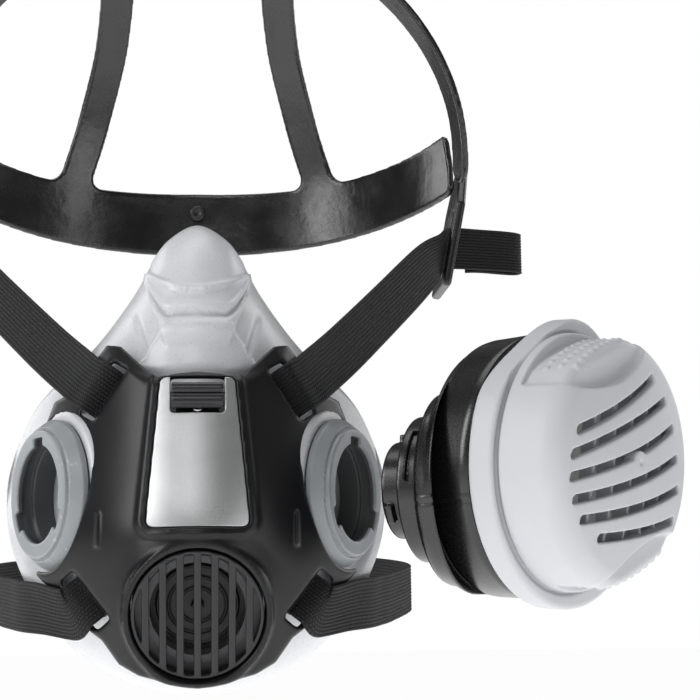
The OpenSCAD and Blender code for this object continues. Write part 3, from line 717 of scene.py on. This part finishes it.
def drill(obj, matrix, radius, low, high):
    """Cuts a round hole along a place's axis."""
    theta = np.linspace(0, 2 * math.pi, 96, endpoint=False)
    ends = [placed(np.stack([radius * np.cos(theta), radius * np.sin(theta), np.full(96, h)], 1), matrix)
            for h in (low, high)]
    mesh = bpy.data.meshes.new("drill")
    faces = ring_quads(2, 96).tolist() + [list(range(95, -1, -1)), list(range(96, 192))]
    mesh.from_pydata((np.concatenate(ends) * MM).tolist(), [], faces)
    tool = bpy.data.objects.new("drill", mesh)
    scene.collection.objects.link(tool)
    modified(obj, "BOOLEAN", operation="DIFFERENCE", object=tool, solver="EXACT")
    bpy.data.objects.remove(tool)


soft_shell = facepiece()
drill(soft_shell, AT_GRILLE, 15.05, -30, 5)
drill(soft_shell, AT_PORT, 18.3, -30, 10)
drill(soft_shell, Matrix.Scale(-1, 4, (1, 0, 0)) @ AT_PORT, 18.3, 10, -30)

# ------------------------------------------------------------------ straps

STRAP_T = 1.4
RIBS = 14
SLOT_PASS = [[-7, 4.1], [-2.6, 4.1], [0, 1.2], [2.6, -1.8], [6, -2]]
CLASP_Z = -34.5


def by_slot(slot, quarter, run, depth):
    angle = math.radians(slot[2] + quarter)
    x, z = slot[0] + run * math.cos(angle), slot[1] + run * math.sin(angle)
    return [x, float(cover_y(x, z)) + depth, z]


UPPER_ROUTE = [by_slot(UPPER_SLOT, 90, *c) for c in SLOT_PASS] + [
    [35, -38, 19.5], [45, -16, 30], [64, 26, 51.5], [79, 60, 69], [85.6, 76, 76], [89.6, 84.2, 80],
    [94.5, 88, 81], [102, 91.5, 81.3], [112, 95.3, 81.5], [117.5, 98.2, 81.5], [119.2, 101, 81.5],
    [117.3, 102.8, 81.4], [112, 101, 81.3], [105, 96.4, 81], [100.5, 93.2, 80.6], [97, 91.6, 80.2]]
UPPER_ACROSS = [[-0.56, -0.24, 0.83]] * 5 + [
    [-0.6, -0.15, 0.8], [-0.72, 0, 0.68], [-0.68, 0, 0.7], [-0.4, 0, 0.9], [0.1, 0, 0.99], [0.19, 0, 0.98],
    [0.19, 0, 0.98], [0.1, 0, 1], [0, 0, 1], [0, 0, 1], [0, 0, 1], [0, 0, 1], [0, 0, 1], [0.02, 0, 1],
    [0.06, 0, 1], [0.1, 0, 1]]
LOWER_ROUTE = [by_slot(LOWER_SLOT, -90, *c) for c in SLOT_PASS] + [
    [44.5, -33, -47.6], [51, -21, -46.8], [55, -8, -46], [60.5, 10, -44.8], [70.5, 51, -41.5], [67, 78, -39],
    [52, 104, -36.5], [34, 119, -35], [22, 127.3, CLASP_Z], [18, 129.1, CLASP_Z]]
LOWER_ACROSS = [[0.63, 0.5, 0.78]] * 5 + [[0.35, 0.25, 0.9], [0.15, 0.1, 0.98]] + [[0, 0, 1]] * 8


def webbing(name, route, across, side, node, step=0.9):
    """A ribbed elastic strap along a route. across is the direction of its width at each point."""
    p, a = curve(route, 14), curve(across, 14)
    run = np.concatenate([[0], np.cumsum(np.linalg.norm(np.diff(p, axis=0), axis=1))])
    even = np.linspace(0, run[-1], int(run[-1] / step) + 2)
    p = np.stack([np.interp(even, run, p[:, k]) for k in range(3)], 1)
    a = np.stack([np.interp(even, run, a[:, k]) for k in range(3)], 1)
    along = np.gradient(p, axis=0)
    along /= np.linalg.norm(along, axis=1, keepdims=True)
    out = np.cross(along, a)
    out /= np.linalg.norm(out, axis=1, keepdims=True)
    wide = np.cross(out, along)
    t = np.linspace(0, 1, RIBS * 4 + 1)
    rib = STRAP_T / 2 - 0.24 + 0.24 * np.abs(np.sin(math.pi * RIBS * t)) ** 0.7
    rib[[0, -1]] = 0.22
    u = np.concatenate([t, t[::-1]]) - 0.5
    height = np.concatenate([rib, -rib])
    rings = p[:, None] + wide[:, None] * (u * STRAP_W)[:, None] + out[:, None] * height[:, None]
    count, m = rings.shape[:2]
    quads = ring_quads(count, m)
    ends = [list(range(m - 1, -1, -1)), list(range((count - 1) * m, count * m))]
    points = rings.reshape(-1, 3) * [side, 1, 1]
    faces = [list(q) for q in quads] + ends
    if side > 0:
        faces = [f[::-1] for f in faces]
    obj = piece(name, points, faces, LOOKS["webbing"], "mask", [node])
    uv = np.stack([np.broadcast_to((u + 0.5) * RIBS, (count, m)).ravel(), np.repeat(even, m)], 1)
    layer = obj.data.uv_layers.new(name="weave")
    corner = np.zeros(len(obj.data.loops), np.int64)
    obj.data.loops.foreach_get("vertex_index", corner)
    layer.data.foreach_set("uv", uv[corner].ravel())
    return obj


for side, word in ((1, "right"), (-1, "left")):
    webbing(f"upper_strap_skin_{word}", UPPER_ROUTE, UPPER_ACROSS, side, f"upper_strap_{word}")
    end = [[13.4, 129.2, CLASP_Z]] if side > 0 else []
    webbing(f"lower_strap_skin_{word}", LOWER_ROUTE + end, LOWER_ACROSS + [[0, 0, 1]] * len(end), side,
            f"lower_strap_{word}")

# ------------------------------------------------------------------ cradle and buckles

CRADLE_MID = np.array([0, 57.3, 102])
CRADLE_R = 95.7
CRADLE_H = 98
CRADLE_T = 2.4
BAND_W = 25
BAND_END = 74
ARM_W = 13
HOOP = [[80, 4], [83, 18], [82, 36], [76, 54], [60, 71]]
ARM = [[31, 5], [27, 22], [27, 42], [36, 58], [60, 71]]


def dome(angles, side):
    turned, rise = np.radians(angles).T
    return CRADLE_MID + np.stack([side * CRADLE_R * np.sin(turned) * np.cos(rise),
                                  CRADLE_R * np.cos(turned) * np.cos(rise), CRADLE_H * np.sin(rise)], 1)


def cradle_field(x, y, z):
    dx, dy, dz = np.broadcast_arrays(x - CRADLE_MID[0], y - CRADLE_MID[1], z - CRADLE_MID[2])
    flat = np.hypot(dx, dy)
    up = np.maximum(dz, 0)
    level = np.sqrt((flat / CRADLE_R) ** 2 + (up / CRADLE_H) ** 2)
    slope = np.sqrt((flat / CRADLE_R**2) ** 2 + (up / CRADLE_H**2) ** 2)
    shell = (level - 1) * level / np.maximum(slope, 1e-6)
    values = np.full(dx.shape, 5.0)
    near = np.abs(shell) < CRADLE_T / 2 + 1.8
    dx, dy, dz, off = dx[near], dy[near], dz[near], shell[near]
    at = (dx, dy + CRADLE_MID[1], dz + CRADLE_MID[2])
    turned = np.arctan2(np.abs(dx), dy)
    rise = 0.5 + 10 * np.abs(np.sin(turned)) ** 3
    band = both(np.abs(dz - rise) - (BAND_W - 3 * np.abs(dx) / 90) / 2,
                (turned - math.radians(BAND_END)) * CRADLE_R, 3.0)
    region = band
    for angles in (HOOP, ARM):
        line = dome(curve(angles, 8), 1)
        reach = np.sqrt(np.maximum(line_distance(line, np.abs(at[0]), at[1], at[2]) ** 2 - off**2, 0))
        region = join(region, reach - ARM_W / 2, 5.0)
    crown_x = np.arange(-8, 9) * 4.2
    crown = CRADLE_MID + np.stack([crown_x, np.full(17, 11.0), CRADLE_H * np.sqrt(
        1 - (crown_x**2 + 121) / CRADLE_R**2)], 1)
    reach = np.sqrt(np.maximum(line_distance(crown, *at) ** 2 - off**2, 0))
    region = join(region, reach - (ARM_W + 5) / 2, 5.0)
    values[near] = both(np.abs(off) - CRADLE_T / 2, region, 0.9)
    return values


solid("head_cradle_skin", cradle_field, (-98, 52, 88), (98, 156, 203), 0.75, LOOKS["cradle"], "mask",
      ["head_cradle"], rounds=2)

BUCKLE = np.array([[80, 67], [80, 95], [92, 110], [103, 110], [109, 97], [109, 67]], float)


def buckle_field(x, y, z):
    plate = both(outline_distance(BUCKLE, y, z) - 2, np.abs(x) - 1.7, 1.3)
    for middle, height, half_w, half_h in ((85.2, 81, 3.6, 13), (93.2, 83, 1.6, 15), (99.6, 83, 1.6, 15)):
        plate = cut(plate, rectangle(y - middle, z - height, half_w, half_h, 1.4), 0.7)
    return plate


for word, mirror in (("right", False), ("left", True)):
    solid(f"harness_buckle_skin_{word}", buckle_field, (-1.8, 77.8, 64.8), (1.8, 111.2, 112.2), 0.35,
          LOOKS["buckle"], "mask", [f"harness_buckle_{word}"], place=AT_BUCKLE, mirror=mirror)


def stud_field(x, y, z):
    rho = np.hypot(x, y)
    return cut(both(rho - 3, within(z, 0, 2), 0.7), np.hypot(rho, z - 3.2) - 1.8, 0.3)


solid("cradle_stud_skin", stud_field, (-3.1, -3.1, -0.1), (3.1, 3.1, 2.1), 0.22, LOOKS["buckle"], "mask",
      ["cradle_stud"], place=shift(0, CRADLE_MID[1] + CRADLE_R - CRADLE_T / 2 - 0.15, 107) @ turn("X", 90))

# ------------------------------------------------------------------ filter

PLUG_R = 20.6


def plug_field(x, y, z):
    rho = np.hypot(x, y)
    body = both(rho - PLUG_R, within(z, 0, 6), 0.7)
    recess = both(both(within(y, 1, 15.3), x), both(19.5 - rho, 2.7 - z), 0.2)
    body = cut(body, recess, 0.25)
    body = join(body, both(rho - 13.7, within(z, -7.5, 3), 0.6), 0.6)
    for angle in NOTCHES:
        lug = both(both(sector(x, y, angle, 2.7), rho - 15.9, 0.4), within(z, -6.2, -3.8), 0.4)
        body = join(body, lug, 0.3)
    return cut(body, rho - 11.5, 0.6)


solid("bayonet_plug_skin", plug_field, (-20.7, -20.7, -7.6), (20.7, 20.7, 6.1), 0.34, LOOKS["filter_black"],
      "filter", ["bayonet_plug"], place=AT_FILTER)


def housing():
    """A loft from the round bayonet end to the wide filter end, with a parting ridge along one side."""
    m = 360
    theta = np.linspace(0, 2 * math.pi, m, endpoint=False)
    stations = [(AT_FILTER, 0, 0, 11.5, 7.0), (AT_FILTER, 0, 0, 11.5, 6.3), (AT_FILTER, 0, 0, 11.8, 6.05),
                (AT_FILTER, 0, 0, 20.3, 6.05), (AT_FILTER, 0, 0, 20.7, 6.3), (AT_FILTER, 0, 0, 20.9, 7.0),
                (AT_FILTER, 0, 0, 21.5, 7.4), (AT_FILTER, 0, 0, 26.1, 7.5), (AT_FILTER, 0, 0, 26.8, 7.9),
                (AT_FILTER, 0, 0, 27.3, 9.0), (AT_FILTER, 0, 0, 27.6, 10.6),
                (AT_FILTER, 2.8, 1.8, 31.2, 13.0), (AT_FILTER, 3.2, 2.2, 31.9, 13.8),
                (AT_RIM, 0, -1.9, 35.8, -14.6),
                (AT_RIM, 0, -1.8, 36.5, -13.6), (AT_RIM, 0, -1.7, 36.7, -12.4),
                (AT_RIM, 0, -1.4, 37.0, -6), (AT_RIM, 0, -1.1, 37.3, -0.5),
                (AT_RIM, 0, -1.0, 36.9, -0.1), (AT_RIM, 0, 0, 33.3, -0.1), (AT_RIM, 0, 0, 33, -0.4),
                (AT_RIM, 0, 0, 33, -17), (AT_FILTER, 0, 0, 11.5, 14.0)]
    rings = []
    for place, ox, oy, radius, z in stations:
        rings.append(placed(np.stack([ox + radius * np.cos(theta), oy + radius * np.sin(theta),
                                      np.full(m, z)], 1), place))
    dense = []
    for a, b in zip(rings, rings[1:] + rings[:1]):
        parts = max(1, int(np.linalg.norm(a - b, axis=1).max() / 2.5))
        dense += [a + (b - a) * k / parts for k in range(parts)]
    points = np.array(dense)
    fx, fy, fz = local(AT_FILTER, *np.moveaxis(points, -1, 0))
    rho = np.hypot(fx, fy)
    bump = 0.3 * np.exp(-((fy + 4.2) / 0.45) ** 2) - 0.4 * np.exp(-((fy + 5.4) / 0.4) ** 2)
    bump = np.where((fx < -12) & (fz > 6) & (rho > 20.5), bump, 0)
    out = np.stack([fx / rho, fy / rho, 0 * fz], -1) @ np.array(AT_FILTER)[:3, :3].T
    points += out * bump[..., None]
    count = len(points)
    faces = np.concatenate([ring_quads(count, m), np.stack([
        (count - 1) * m + np.arange(m), (count - 1) * m + (np.arange(m) + 1) % m,
        (np.arange(m) + 1) % m, np.arange(m)], 1)])
    return piece("filter_housing_skin", points.reshape(-1, 3), faces, LOOKS["filter_black"], "filter",
                 ["filter_housing"])


housing()


def rim_field(x, y, z):
    rho = np.hypot(x, y)
    outline = np.hypot(x - 2.5, y) - 40.8
    for angle in (53, 127):
        flat = (x - 2.5) * math.cos(math.radians(angle)) + y * math.sin(math.radians(angle)) - 37.4
        outline = both(outline, flat, 4.0)
    body = both(outline, within(z, 0, 8), 1.4)
    spigot = both(rho - 34.4, within(z, 5, 10), 0.3)
    groove = both(within(rho, 35.5, 36.8), 7.2 - z, 0.3)
    return cut(join(cut(body, groove, 0.3), spigot, 0.3), rho - 33, 0.4)


solid("filter_rim_skin", rim_field, (-38.4, -40.9, -0.1), (43.4, 40.9, 10.1), 0.5, LOOKS["filter_grey"],
      "filter", ["filter_rim"], place=AT_RIM)

CAP_SLOTS = [[[-28.2, 5.2], [-11.6, 13.1], [9.3, 24.9]], [[-30, -1.5], [-11.6, 6.5], [16.2, 19.5]],
             [[-29.7, -7.3], [-9.6, -0.7], [20.9, 12.4]], [[-27.7, -13], [-7, -7.3], [24.2, 4.1]],
             [[-23.8, -17.9], [-3.5, -13.5], [26.5, -4.4]], [[-15.6, -22], [1.5, -19.2], [25.2, -13.4]]]
DOME_R = 130
CAP_TOP = 31
GRIP_TURNS = (114, -66)


def grip_field(x, y, z, rho, turned):
    """What a finger grip takes out of the cap, and the dots on its floor."""
    c, s = math.cos(math.radians(turned)), math.sin(math.radians(turned))
    q, p = x * c + y * s, x * s - y * c
    side = (22.8 + 0.0115 * p * p - q) / np.sqrt(1 + (0.023 * p) ** 2)
    floor = both(both(rho - 34.6, q - 32.8, 3.0), z - 25.0, 3.5)
    hollow = both(both(side, -floor, 1.4), 11.4 - z, 0.5)
    row = np.clip(np.round((z + 0.1 * p - 18.4) / 4.2), -1, 1)
    column = np.clip(np.round((p - 1.1 * row) / 3.5), -4, 4)
    near_p, near_z = p - 1.1 * row - 3.5 * column, z + 0.1 * p - 18.4 - 4.2 * row
    dots = np.sqrt(near_p**2 + near_z**2 + (floor + 0.25) ** 2) - 1.1
    return hollow, dots, both(side - 2.2, -2.2 - floor)


def cap_field(x, y, z):
    rho = np.hypot(x, y)
    domed = np.hypot(rho, z - (CAP_TOP - DOME_R)) - DOME_R
    body = both(both(rho - (36.1 - 0.05 * (z - 8.3)), domed, 5.0), 8.3 - z, 0.5)
    room = both(rho - 26, domed + 2.6, 0.5)
    for turned in GRIP_TURNS:
        hollow, dots, wall = grip_field(x, y, z, rho, turned)
        body = join(cut(body, hollow, 0.25), both(dots, hollow - 0.6), 0.15)
        room = cut(room, wall)
    body = cut(body, both(rho - 30.4, z - 20.8, 0.5))
    body = cut(body, room)
    body = cut(body, both(rho - 34.7, z - 10.3))
    ribs = both(np.abs((x + 3) % 9 - 4.5) - 0.5, within(z, 22, 29))
    ribs = both(both(ribs, rho - 26.5), domed + 3.6)
    for (x0, y0), (x1, y1), (x2, y2) in CAP_SLOTS:
        t = np.clip(x, x0, x2)
        middle = (y0 * (t - x1) * (t - x2) / ((x0 - x1) * (x0 - x2)) + y1 * (t - x0) * (t - x2)
                  / ((x1 - x0) * (x1 - x2)) + y2 * (t - x0) * (t - x1) / ((x2 - x0) * (x2 - x1)))
        slope = math.hypot(x2 - x0, y2 - y0) / (x2 - x0)
        slot = rectangle(x - (x0 + x2) / 2, (y - middle) / slope, (x2 - x0) / 2, 1.25, 1.1)
        body = cut(body, both(slot, 17 - z), 0.35)
    body = join(body, ribs, 0.2)
    boss = both(rho - 3.2, within(z, 27, 31.1), 0.4)
    return cut(join(body, boss, 0.3), np.hypot(rho, z - 31.4) - 0.9, 0.2)


solid("prefilter_cap_skin", cap_field, (-36.4, -36.4, 8.2), (36.4, 36.4, 31.4), 0.38, LOOKS["filter_grey"],
      "filter_cap", ["prefilter_cap"], place=AT_RIM)

# ------------------------------------------------------------------ CAD nodes that stay

KEPT = {
    "support_frame": "frame", "latch_pin": "steel", "latch_spring": "steel", "valve_housing": "housing_grey",
    "exhalation_seat": "frame", "inlet_valve_left": "valve", "inlet_valve_right": "valve",
    "port_gasket_left": "seal", "port_gasket_right": "seal", "retaining_ring_left": "housing_grey",
    "retaining_ring_right": "housing_grey", "neck_clasp_eye": "buckle", "neck_clasp_hook": "buckle",
    "bayonet_seal": "seal", "carbon_bed": "carbon", "carbon_screens": "screen", "particle_media": "media",
    "prefilter_pad": "pad",
}
for node, look in KEPT.items():
    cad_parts[node].data.materials.clear()
    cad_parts[node].data.materials.append(LOOKS[look])

# ------------------------------------------------------------------ stage, lights and camera


def stage_floor(height=-0.30):
    mesh = bpy.data.meshes.new("studio_floor")
    size = 12
    mesh.from_pydata([(-size, -size, height), (size, -size, height), (size, size, height),
                      (-size, size, height)], [], [(0, 1, 2, 3)])
    floor = bpy.data.objects.new("studio_floor", mesh)
    scene.collection.objects.link(floor)
    n = Nodes("studio_floor")
    tone = n.noise(n.place(), 0.8, 2.0)
    n.set(Base_Color=n.mix(tone, (0.88, 0.88, 0.88), (0.90, 0.90, 0.90)), Roughness=0.95,
          Emission_Color=(1, 1, 1, 1), Emission_Strength=0.86)
    mesh.materials.append(n.material)


def softbox(name, place, aim, size, power):
    light = bpy.data.lights.new(name, "AREA")
    light.shape = "RECTANGLE"
    light.size, light.size_y = size
    light.energy = power
    lamp = bpy.data.objects.new(name, light)
    lamp.location = place
    lamp.rotation_euler = (Vector(aim) - Vector(place)).to_track_quat("-Z", "Y").to_euler()
    scene.collection.objects.link(lamp)


def studio():
    world = bpy.data.worlds.new("studio")
    world.use_nodes = True
    scene.world = world
    tree = world.node_tree
    sky = tree.nodes["Background"]
    sky.inputs["Color"].default_value = (1, 1, 1, 1)
    sky.inputs["Strength"].default_value = 0.13
    backdrop = tree.nodes.new("ShaderNodeBackground")
    backdrop.inputs["Color"].default_value = (1, 1, 1, 1)
    seen = tree.nodes.new("ShaderNodeLightPath")
    mix = tree.nodes.new("ShaderNodeMixShader")
    tree.links.new(seen.outputs["Is Camera Ray"], mix.inputs[0])
    tree.links.new(sky.outputs[0], mix.inputs[1])
    tree.links.new(backdrop.outputs[0], mix.inputs[2])
    tree.links.new(mix.outputs[0], tree.nodes["World Output"].inputs["Surface"])
    middle = (0.03, 0.02, 0.02)
    softbox("key", (-0.95, -0.45, 0.45), middle, (0.35, 0.8), 7.0)
    softbox("front", (-0.2, -1.1, 0.75), middle, (0.6, 0.4), 3.0)
    softbox("fill", (1.0, -0.6, 0.1), middle, (0.3, 0.8), 1.6)
    softbox("top", (0.0, 0.1, 1.1), middle, (1.0, 0.6), 4.0)
    softbox("back_left", (-0.8, 0.8, 0.5), middle, (0.4, 0.9), 3.0)
    softbox("back_right", (0.9, 0.7, 0.5), middle, (0.4, 0.9), 3.0)


def camera():
    yaw, pitch, roll = (math.radians(a) for a in (4.69, 8.0, -0.65))
    ahead = Vector((math.sin(yaw) * math.cos(pitch), math.cos(yaw) * math.cos(pitch), math.sin(pitch)))
    right = ahead.cross(Vector((0, 0, 1))).normalized()
    up = right.cross(ahead)
    side = right * math.cos(roll) + up * math.sin(roll)
    over = up * math.cos(roll) - right * math.sin(roll)
    data = bpy.data.cameras.new("camera")
    data.sensor_width = 36
    data.lens = 96.5
    data.clip_start = 0.01
    view = bpy.data.objects.new("camera", data)
    scene.collection.objects.link(view)
    view.matrix_world = Matrix(((side.x, over.x, -ahead.x, 0), (side.y, over.y, -ahead.y, -0.577),
                                (side.z, over.z, -ahead.z, -0.05), (0, 0, 0, 1)))
    scene.camera = view


stage_floor()
studio()
camera()
scene.view_settings.view_transform = "Standard"
